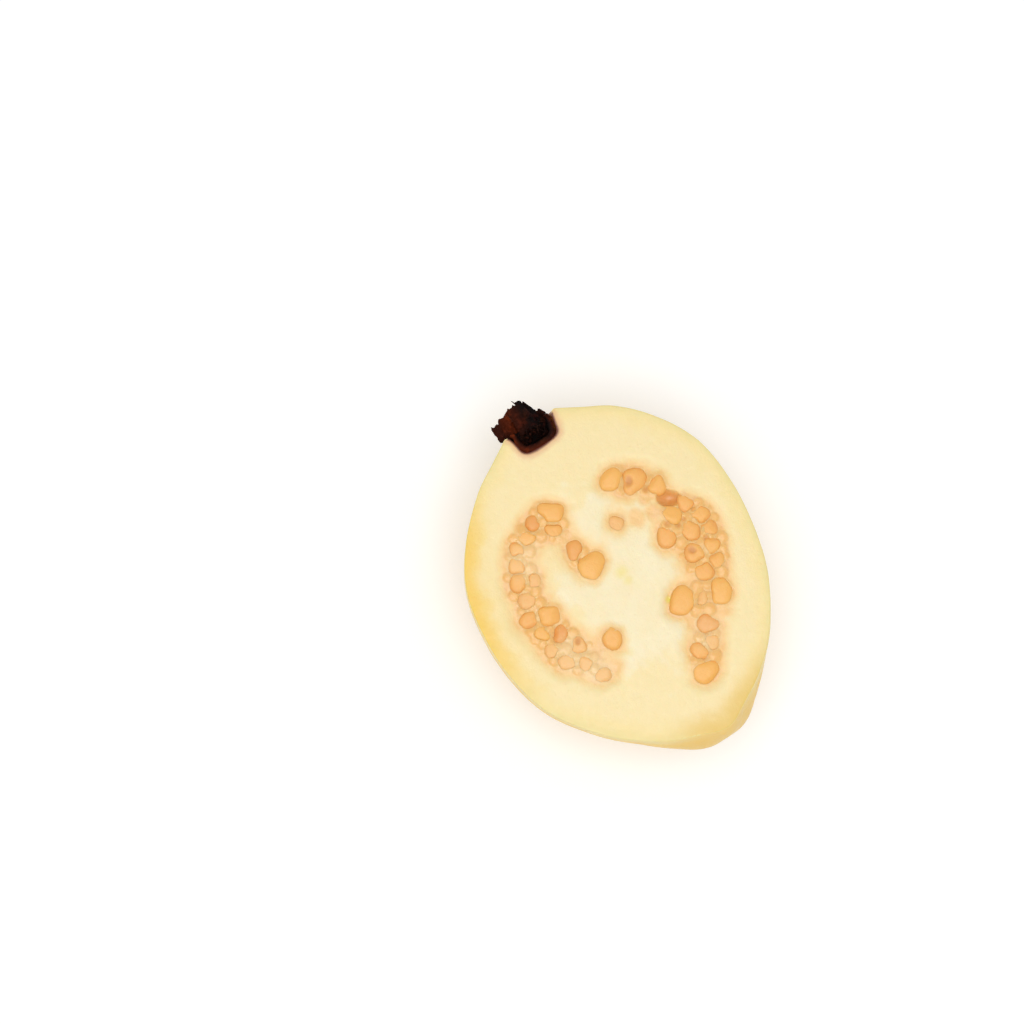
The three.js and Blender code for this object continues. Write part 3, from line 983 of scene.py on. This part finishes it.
def fleshMaterial():
    material, tree, shader, place = newMaterial("guavaFlesh")
    pulp = attribute(tree, "pulp")
    # distances in millimetres wander a little, so that no band has a ruled edge
    drift = useGroup(tree, blotches, Place=place, Size=6.0, Detail=4.0, Low=0.2, High=0.8)
    wander = ramp(tree, drift, 0.0, 1.0, 0.7, 1.35)
    rimFar = times(tree, attribute(tree, "rim"), wander)
    stain = times(tree, attribute(tree, "stain"), wander)
    inCore = ramp(tree, times(tree, attribute(tree, "core"), wander), 1.15, 0.7)
    cloud = useGroup(tree, blotches, Place=place, Size=9.0, Detail=5.0, Low=0.35, High=0.7)
    coreColour = mixColour(tree, cloud, fleshLook["core"], fleshLook["coreShade"])
    pink = useGroup(tree, blotches, Place=place, Size=3.2, Detail=4.0, Low=0.48, High=0.72)
    pink = times(tree, pink, ramp(tree, pulp, 0.7, 1.0, 1.0, 0.45))
    pulpColour = mixColour(tree, pink, fleshLook["pulp"], fleshLook["pulpPink"])
    cells = useGroup(tree, specks, Place=place, Size=0.7, Reach=0.3, Share=0.3)

    def banded(name, reach, most):
        return times(tree, attribute(tree, name), ramp(tree, rimFar, reach, 0.3, 0.0, most))

    colour = mixColour(tree, ramp(tree, rimFar, 5.5, 0.6), fleshLook["cream"], fleshLook["outer"])
    colour = mixColour(tree, times(tree, inCore, 0.85), colour, coreColour)
    colour = layered(tree, colour, fleshLook, [
        ("rim", ramp(tree, rimFar, 2.2, 0.1)),
        ("leftRim", banded("leftRim", 15.0, 0.2)),
        ("leftRim", banded("leftRim", 5.0, 0.88)),
        ("stemRim", banded("stemRim", 7.0, 0.9)),
        ("halo", attribute(tree, "halo")),
    ])
    colour = mixColour(tree, times(tree, pulp, 0.92), colour, pulpColour)
    colour = layered(tree, colour, fleshLook, [
        ("buried", times(tree, attribute(tree, "buried"), 0.65)),
        ("pale", attribute(tree, "pale")),
        ("greenish", attribute(tree, "green")),
        # painted shade in the hollows and sockets
        ("hollowShade", attribute(tree, "hollowShade")),
        ("stain", ramp(tree, stain, 2.2, 0.3, 0.0, 0.75)),
        ("stainDark", ramp(tree, stain, 0.7, 0.1)),
        ("cell", times(tree, cells, 0.16)),
    ])
    fine = useGroup(tree, grain, Place=place, Size=0.5, Cells=0.4)
    soft = useGroup(tree, grain, Place=place, Size=1.7, Cells=0.2)
    rough = maths(tree, "SUBTRACT", ramp(tree, soft, 0.2, 0.8, 0.34, 0.56), times(tree, pulp, 0.14))
    join(tree, shader, Base_Color=colour, Roughness=rough,
         Normal=bump(tree, fine, 0.045, bump(tree, soft, 0.13)),
         Subsurface_Weight=0.25, Subsurface_Radius=(1.0, 0.7, 0.4), Subsurface_Scale=1.6 * mm,
         Coat_Weight=0.08, Coat_Roughness=0.2)
    return material


buildFruit(skinMaterial(), fleshMaterial())

seedLook = {
    # the top lighter and the sides darker: painted light and shade, with some of the pulp's orange at the
    # sides
    "litCrown": rgb(246, 181, 94),
    "side": rgb(240, 170, 88),
    "bright": rgb(249, 186, 94),
    "deep": rgb(234, 158, 78),
    "veil": rgb(244, 192, 124),
    "pale": rgb(250, 203, 138),
    # painted shade in a seed's small dent
    "shadedDent": rgb(218, 150, 78),
    "speck": rgb(230, 162, 88),
}


def seedMaterial():
    material, tree, shader, place = newMaterial("seedCoat")
    tone = attribute(tree, "tone")
    grainy = useGroup(tree, blotches, Place=place, Size=1.6, Detail=5.0, Low=0.35, High=0.65)
    height = maths(tree, "ADD", attribute(tree, "litCrown"), times(tree, grainy, 0.25))
    marks = useGroup(tree, specks, Place=place, Size=0.55, Reach=0.3, Share=0.35)
    colour = layered(tree, seedLook["side"], seedLook, [
        # painted light on each seed's top and painted shade down its sides
        ("litCrown", ramp(tree, height, 0.25, 0.95)),
        ("bright", ramp(tree, tone, 0.5, 1.0, 0.0, 0.8)),
        ("deep", ramp(tree, tone, 0.5, 0.0, 0.0, 0.85)),
        ("speck", times(tree, marks, 0.3)),
        ("veil", times(tree, attribute(tree, "veil"), 0.55)),
        ("pale", attribute(tree, "pale")),
        # painted shade in the dent
        ("shadedDent", attribute(tree, "shadedDent")),
    ])
    pitted = useGroup(tree, grain, Place=place, Size=0.45, Cells=0.5)
    join(tree, shader, Base_Color=colour, Roughness=ramp(tree, pitted, 0.2, 0.8, 0.36, 0.54),
         Normal=bump(tree, pitted, 0.05),
         Subsurface_Weight=0.2, Subsurface_Radius=(1.0, 0.6, 0.3), Subsurface_Scale=1.0 * mm,
         Coat_Weight=0.1, Coat_Roughness=0.25)
    return material


def buildSeed(seed, material):
    number = seed["number"]
    name, nodes = f"seed{number:02d}", [f"seed_{number:02d}"]
    return makePiece(name, seed["points"], ballFaces, material, nodes, seed["attributes"])


seedCoat = seedMaterial()
for seed in seeds:
    buildSeed(seed, seedCoat)
print("seeds built")

calyxLook = {
    "dark": rgb(8, 2, 1),
    "brown": rgb(44, 11, 6),
    "rust": rgb(112, 42, 13),
    "olive": rgb(42, 24, 6),
}


def calyxMaterial():
    material, tree, shader, place = newMaterial("driedCalyx")
    streaks = useGroup(tree, blotches, Place=place, Size=1.3, Detail=6.0, Low=0.46, High=0.7)
    patches = useGroup(tree, blotches, Place=place, Size=2.6, Detail=4.0, Low=0.5, High=0.7)
    warm = times(tree, attribute(tree, "warm"), ramp(tree, streaks, 0.0, 1.0, 0.55, 1.0))
    colour = layered(tree, calyxLook["dark"], calyxLook, [
        ("brown", streaks),
        ("olive", times(tree, patches, 0.5)),
        ("rust", warm),
    ])
    wrinkles = useGroup(tree, grain, Place=place, Size=0.8, Cells=0.35)
    fine = useGroup(tree, grain, Place=place, Size=0.28, Cells=0.5)
    join(tree, shader, Base_Color=colour, Roughness=ramp(tree, fine, 0.2, 0.8, 0.5, 0.8),
         Normal=bump(tree, fine, 0.1, bump(tree, wrinkles, 0.35)), Specular_IOR_Level=0.07)
    return material


dried = calyxMaterial()
lipMiddle = np.array([float(axisAt(lipY)[1]), lipY, float(axisAt(lipY)[2])])

lining = {
    # radius and height over the lip, from the middle of the floor up the outside and down the inside
    "profile": [
        (0, -5.3), (2.45, -5.15), (3.8, -4.55), (4.4, -3.2), (4.6, -1.5), (4.75, -0.2),
        (4.3, 0.2), (3.8, -0.3), (3.45, -2.5), (2.9, -3.6), (1.9, -4.0), (0, -4.1),
    ],
    "stepsAround": 72,
    "stepsAlong": 54,
    "belowCut": 0.08,
    "cutLumps": (0.7, 0.05),
    "crumple": [(1.6, 0.28), (0.6, 0.1)],
    "calmRadius": 1.2,  # the crumples fade out this near its own axis
    "squeeze": 0.35,  # how much a crumple also moves it in and out
    # where it's warmer: along the cut, less so to the right, and on the lit left wall of the bowl, where the
    # warmth is painted light
    "cutRim": {"height": (-1.1, -0.1), "across": (0.5, 4.5), "warmth": (0.95, 0.3)},
    "litLeftWall": {"height": (-3.6, -0.6), "across": (0.2, -2.2), "warmth": 0.2},
}


def liningGrid():
    # lines of points up the outside of the half bowl and down its inside, which all share their two ends
    line, lengths = smoothLine(lining["profile"], 12)
    places = np.linspace(0, lengths[-1], lining["stepsAlong"])
    radii, heights = np.interp(places, lengths, line[:, 0]), np.interp(places, lengths, line[:, 1])
    radii[0] = radii[-1] = 0
    around = np.linspace(0, -math.pi, lining["stepsAround"] + 1)
    points = []
    index = np.zeros((len(around), len(places)), int)
    for row, angle in enumerate(around):
        for column, (radius, height) in enumerate(zip(radii, heights)):
            if radius == 0 and row > 0:
                index[row, column] = index[0, column]
                continue
            index[row, column] = len(points)
            points.append((radius * math.cos(angle), height, radius * math.sin(angle) * fruit["backDepth"]))
    return np.array(points), index, np.argmax(heights)


def buildLining():
    points, index, rim = liningGrid()
    calm = smoothStep(0, lining["calmRadius"], np.hypot(points[:, 0], points[:, 2]))
    for n, (size, height) in enumerate(lining["crumple"]):
        points[:, 1] += height * calm * noiseAt(points, size, 60 + n)
        squeeze = 1 + height * lining["squeeze"] * calm * noiseAt(points, size, 70 + n)
        points[:, 0] *= squeeze
        points[:, 2] *= squeeze
    edge = np.r_[index[0], index[-1]]
    points += lipMiddle
    points[:, 2] = np.minimum(points[:, 2], -lining["belowCut"])
    size, height = lining["cutLumps"]
    points[edge, 2] = -lining["belowCut"] + height * noiseAt(points[edge], size, 77)
    faces = quads(index)
    # a strip closes each cut end, from the outside to the inside
    half = index.shape[1] // 2
    for end in (index[0], index[-1]):
        faces += quads([end[:half], end[::-1][:half]])
    # 1 up the outside and over the rim, and 0 down the inside
    outside = np.ones(len(points))
    outside[index[:, rim + 2 :]] = 0
    cut, wall = lining["cutRim"], lining["litLeftWall"]
    cutWarmth = between(*cut["warmth"], smoothStep(*cut["across"], points[:, 0]))
    cutWarmth = smoothStep(*cut["height"], points[:, 2]) * cutWarmth
    # painted light on the lit left wall of the bowl
    onWall = smoothStep(*wall["across"], points[:, 0]) * smoothStep(*wall["height"], points[:, 2])
    warm = cutWarmth * outside + wall["warmth"] * (1 - outside) * onWall
    return makePiece("calyxLining", points, faces, dried, ["calyx_cup"], {"warm": warm})


buildLining()

# the way round the lip in degrees, how far out it grows, how far its tip leans out, its thickness, how
# warm its brown is on its right and on its left, and its corners along the lip and above it
sepals = [
    {"turn": 22, "radius": 4.3, "lean": -0.2, "thickness": 0.8, "warmth": (0.1, 0.1),
     "leaf": [(-1.7, -0.8), (0.8, -0.8), (0.7, 1.9), (-1.1, 1.5)]},
    {"turn": 58, "radius": 4.9, "lean": 0.4, "thickness": 0.8, "warmth": (0.0, 0.1),
     "leaf": [(-2.1, -0.7), (2.5, -0.7), (2.2, 6.6), (0.1, 4.8)]},
    {"turn": 88, "radius": 3.6, "lean": 0.1, "thickness": 0.8, "warmth": (0.0, 0.4),
     "leaf": [(-2.5, -0.9), (2.5, -0.9), (1.9, 5.2), (-1.6, 5.7)]},
    {"turn": 122, "radius": 5.0, "lean": 0.3, "thickness": 1.0, "warmth": (1.0, 0.35),
     "leaf": [(-1.7, -0.6), (5.7, 0.0), (5.8, 3.4), (-1.5, 5.2)]},
]
sepalShape = {
    "across": 44,
    "upwards": 48,
    "bend": 0.03,  # inwards, per millimetre squared from the leaf's middle
    "crumple": [(2.0, 0.34), (0.7, 0.13)],
    "ragged": [(0.9, 0.3), (0.35, 0.12)],
    "raggedLength": 5,  # along each side and along the tip
    "tipRaggedness": 1.6,  # as a share of the sides'
    "thinEdge": 0.3,
    "curl": 0.55,  # towards the inside, at the tip's edge
    "overCut": 0.3,
    "rootWarmth": 0.5,
}


def buildSepal(number, turn, radius, lean, thickness, warmth, leaf):
    columns, rows = sepalShape["across"], sepalShape["upwards"]
    u, v = np.meshgrid(np.linspace(0, 1, columns + 1), np.linspace(0, 1, rows + 1), indexing="ij")
    u, v = u.ravel()[:, None], v.ravel()[:, None]
    rootStart, rootEnd, tipEnd, tipStart = (np.array(corner) for corner in leaf)
    flat = between(between(rootStart, rootEnd, u), between(tipStart, tipEnd, u), v)
    u, v = u[:, 0], v[:, 0]
    flat = np.c_[flat, np.zeros(len(flat))]
    edge = 2 * u - 1
    still = np.zeros(len(u))
    alongSides = np.c_[still, v * sepalShape["raggedLength"], still]
    alongTip = np.c_[u * sepalShape["raggedLength"], still, still]
    for n, (size, depth) in enumerate(sepalShape["ragged"]):
        sides = noiseAt(alongSides, size, 80 + number + n + 3 * (number % 2))
        flat[:, 0] += depth * edge**3 * sides
        flat[:, 1] += sepalShape["tipRaggedness"] * depth * v**3 * noiseAt(alongTip, size, 90 + number + n)
    crumple = np.zeros(len(u))
    for n, (size, depth) in enumerate(sepalShape["crumple"]):
        crumple += depth * noiseAt(flat, size, 100 + number + 7 * n)
    crumple = crumple * smoothStep(-0.1, 0.35, v) - sepalShape["curl"] * v**3
    thin = between(sepalShape["thinEdge"], 1.0, (1 - edge**6) * (1 - v**8))
    way = -math.radians(turn)
    layers = []
    for side in (-0.5, 0.5):
        out = radius + side * thickness * thin + crumple + lean * v - sepalShape["bend"] * flat[:, 0] ** 2
        layers.append(np.stack([
            lipMiddle[0] + out * math.cos(way) + flat[:, 0] * math.sin(way),
            lipY + flat[:, 1],
            lipMiddle[2] + (out * math.sin(way) - flat[:, 0] * math.cos(way)) * fruit["backDepth"],
        ], -1))
    points = np.vstack(layers)
    points[:, 2] = np.minimum(points[:, 2], sepalShape["overCut"])
    index = np.arange(len(u)).reshape(columns + 1, rows + 1)
    border = np.r_[index[:, 0], index[-1, 1:], index[-2::-1, -1], index[0, -2:0:-1]]
    faces = quads(index) + quads(index + len(u)) + quads([border, border + len(u)], around=True)
    warm = between(*warmth, smoothStep(0.1, 0.9, u))
    warm = warm * between(sepalShape["rootWarmth"], 1.0, smoothStep(0, 0.4, v))
    nodes = [f"sepal_{number}"]
    return makePiece(f"sepal{number}", points, faces, dried, nodes, {"warm": np.tile(warm, 2)})


for n, sepal in enumerate(sepals):
    buildSepal(n + 1, **sepal)

threads = {
    "count": 26,
    "thickness": 0.13,
    "taper": 0.35,
    "sides": 7,
    "steps": 16,
    "knob": [0.195, 0.26, 0.143],  # its thickness over the last three steps
    "belowCut": 0.35,
    "clear": (0.12, 0.15),  # how near the cut, in radians, its root and its tip may come
    "rootRadius": (2.0, 3.0),
    "rootHeight": -3.3,
    "tipRadius": (0.4, 2.8),
    "tipHeight": (-2.8, -0.4),
    "swing": 1.2,
    "bow": 0.9,
    "bowUp": 0.2,  # the most that it bows up towards the cut
    "wave": 0.12,
    "waviness": 9,
}


def buildThreads():
    # dried stamens, matted together in the bowl of the calyx
    draw = np.random.default_rng(71)
    share = np.linspace(0, 1, threads["steps"])[:, None]
    turns = [2 * math.pi * n / threads["sides"] for n in range(threads["sides"])]
    points, faces = [], []
    for _ in range(threads["count"]):
        rootClear, tipClear = threads["clear"]
        way = -draw.uniform(rootClear, math.pi - rootClear)
        root, tip = draw.uniform(*threads["rootRadius"]), draw.uniform(*threads["tipRadius"])
        tipWay = way + draw.uniform(-threads["swing"], threads["swing"])
        tipWay = min(-tipClear, max(-math.pi + tipClear, tipWay))
        start = np.array([root * math.cos(way), threads["rootHeight"], root * math.sin(way)])
        end = np.array([tip * math.cos(tipWay), draw.uniform(*threads["tipHeight"]), tip * math.sin(tipWay)])
        bow = np.array([*draw.uniform(-threads["bow"], threads["bow"], 2),
                        draw.uniform(-threads["bow"], threads["bowUp"])])
        wave = threads["wave"] * np.sin(threads["waviness"] * share + draw.uniform(0, 6, 3))
        path = between(start, end, share) + bow * np.sin(math.pi * share) + wave + lipMiddle
        path[:, 2] = np.minimum(path[:, 2], -threads["belowCut"])
        ways = np.gradient(path, axis=0)
        thick = threads["thickness"] * (1 - threads["taper"] * share[:, 0]) * draw.uniform(0.8, 1.2)
        thick[-3:] = threads["knob"]
        index = len(points) + np.arange(len(path) * len(turns)).reshape(len(path), len(turns))
        for place, forward, radius in zip(path, ways, thick.tolist()):
            forward = Vector(forward).normalized()
            side = forward.orthogonal().normalized()
            up = forward.cross(side)
            for turn in turns:
                points.append(Vector(place) + radius * (math.cos(turn) * side + math.sin(turn) * up))
        faces += quads(index, around=True) + [index[0].tolist(), index[-1].tolist()]
    points = np.array(points)
    # almost no rust, so they stay near black: the dried threads' own colour with painted shade of the bowl
    return makePiece("calyxThreads", points, faces, dried, [], {"warm": np.full(len(points), 0.05)})


buildThreads()
print("calyx built")

room = {
    "floorSize": 6.0,
    "floorColour": rgb(246, 246, 246),
    "floorLift": 0.2,  # brings the floor up to white where the camera sees it
    "skyStrength": 0.51,
    "keyWatts": 4.75,
    "keySize": 0.7,
    "keyPlace": (-0.12, -0.1, 0.95),
}


def cameraSees(tree):
    # rays that look at the backdrop directly, in a reflection or through something clear
    rays = addNode(tree, "LightPath")
    seen = maths(tree, "MAXIMUM", rays.outputs["Is Camera Ray"], rays.outputs["Is Glossy Ray"])
    return maths(tree, "MAXIMUM", seen, rays.outputs["Is Transmission Ray"])


def buildFloor():
    half = room["floorSize"] / 2
    grid = bmesh.new()
    bmesh.ops.create_grid(grid, x_segments=12, y_segments=12, size=half)
    mesh = bpy.data.meshes.new("floor")
    grid.to_mesh(mesh)
    grid.free()
    floor = bpy.data.objects.new("floor", mesh)
    bpy.context.scene.collection.objects.link(floor)
    material = bpy.data.materials.new("paleFloor")
    material.use_nodes = True
    tree = material.node_tree
    shader = tree.nodes["Principled BSDF"]
    join(tree, shader, Base_Color=room["floorColour"], Roughness=1.0, Specular_IOR_Level=0.0,
         Emission_Color=(1, 1, 1, 1), Emission_Strength=times(tree, cameraSees(tree), room["floorLift"]))
    mesh.materials.append(material)


def lightRoom():
    world = bpy.data.worlds.new("softRoom")
    world.use_nodes = True
    tree = world.node_tree
    strength = maths(tree, "MAXIMUM", cameraSees(tree), room["skyStrength"])
    join(tree, tree.nodes["Background"], Color=(1, 1, 1, 1), Strength=strength)
    bpy.context.scene.world = world
    light = bpy.data.lights.new("softBox", "AREA")
    light.energy = room["keyWatts"]
    light.size = room["keySize"]
    lamp = bpy.data.objects.new("softBox", light)
    lamp.location = room["keyPlace"]
    lamp.rotation_euler = (-Vector(room["keyPlace"])).to_track_quat("-Z", "Y").to_euler()
    bpy.context.scene.collection.objects.link(lamp)


buildFloor()
lightRoom()
print("room and light ready")

shot = {
    "azimuth": -70,
    "elevation": 82,
    "roll": 36.77,
    "distance": 0.605491,
    "lens": 100,
    "sensor": 36,
    "targetBelowFace": 12.4,
    "targetAt": (0.105322, 0.070411),  # how far right of and below the middle it comes, in view widths
}


def placeCamera():
    azimuth, elevation, roll = (math.radians(shot[name]) for name in ("azimuth", "elevation", "roll"))
    aside = math.cos(elevation)
    back = Vector((math.sin(azimuth) * aside, -math.cos(azimuth) * aside, math.sin(elevation)))
    level = Vector((math.cos(azimuth), math.sin(azimuth), 0))
    upright = back.cross(level)
    right = level * math.cos(roll) + upright * math.sin(roll)
    up = upright * math.cos(roll) - level * math.sin(roll)
    target = Vector(toFrame((0, 0, -shot["targetBelowFace"])))
    place = target + back * shot["distance"]
    viewWidth = shot["distance"] * shot["sensor"] / shot["lens"]
    aim = target - right * shot["targetAt"][0] * viewWidth + up * shot["targetAt"][1] * viewWidth
    facing = (place - aim).normalized()
    side = up.cross(facing).normalized()
    top = facing.cross(side)
    lens = bpy.data.cameras.new("camera")
    lens.lens, lens.sensor_width = shot["lens"], shot["sensor"]
    lens.clip_start, lens.clip_end = 0.05, 20
    camera = bpy.data.objects.new("camera", lens)
    camera.matrix_world = Matrix.Translation(place) @ Matrix((side, top, facing)).transposed().to_4x4()
    bpy.context.scene.collection.objects.link(camera)
    bpy.context.scene.camera = camera


placeCamera()
bpy.context.scene.view_settings.view_transform = "Standard"
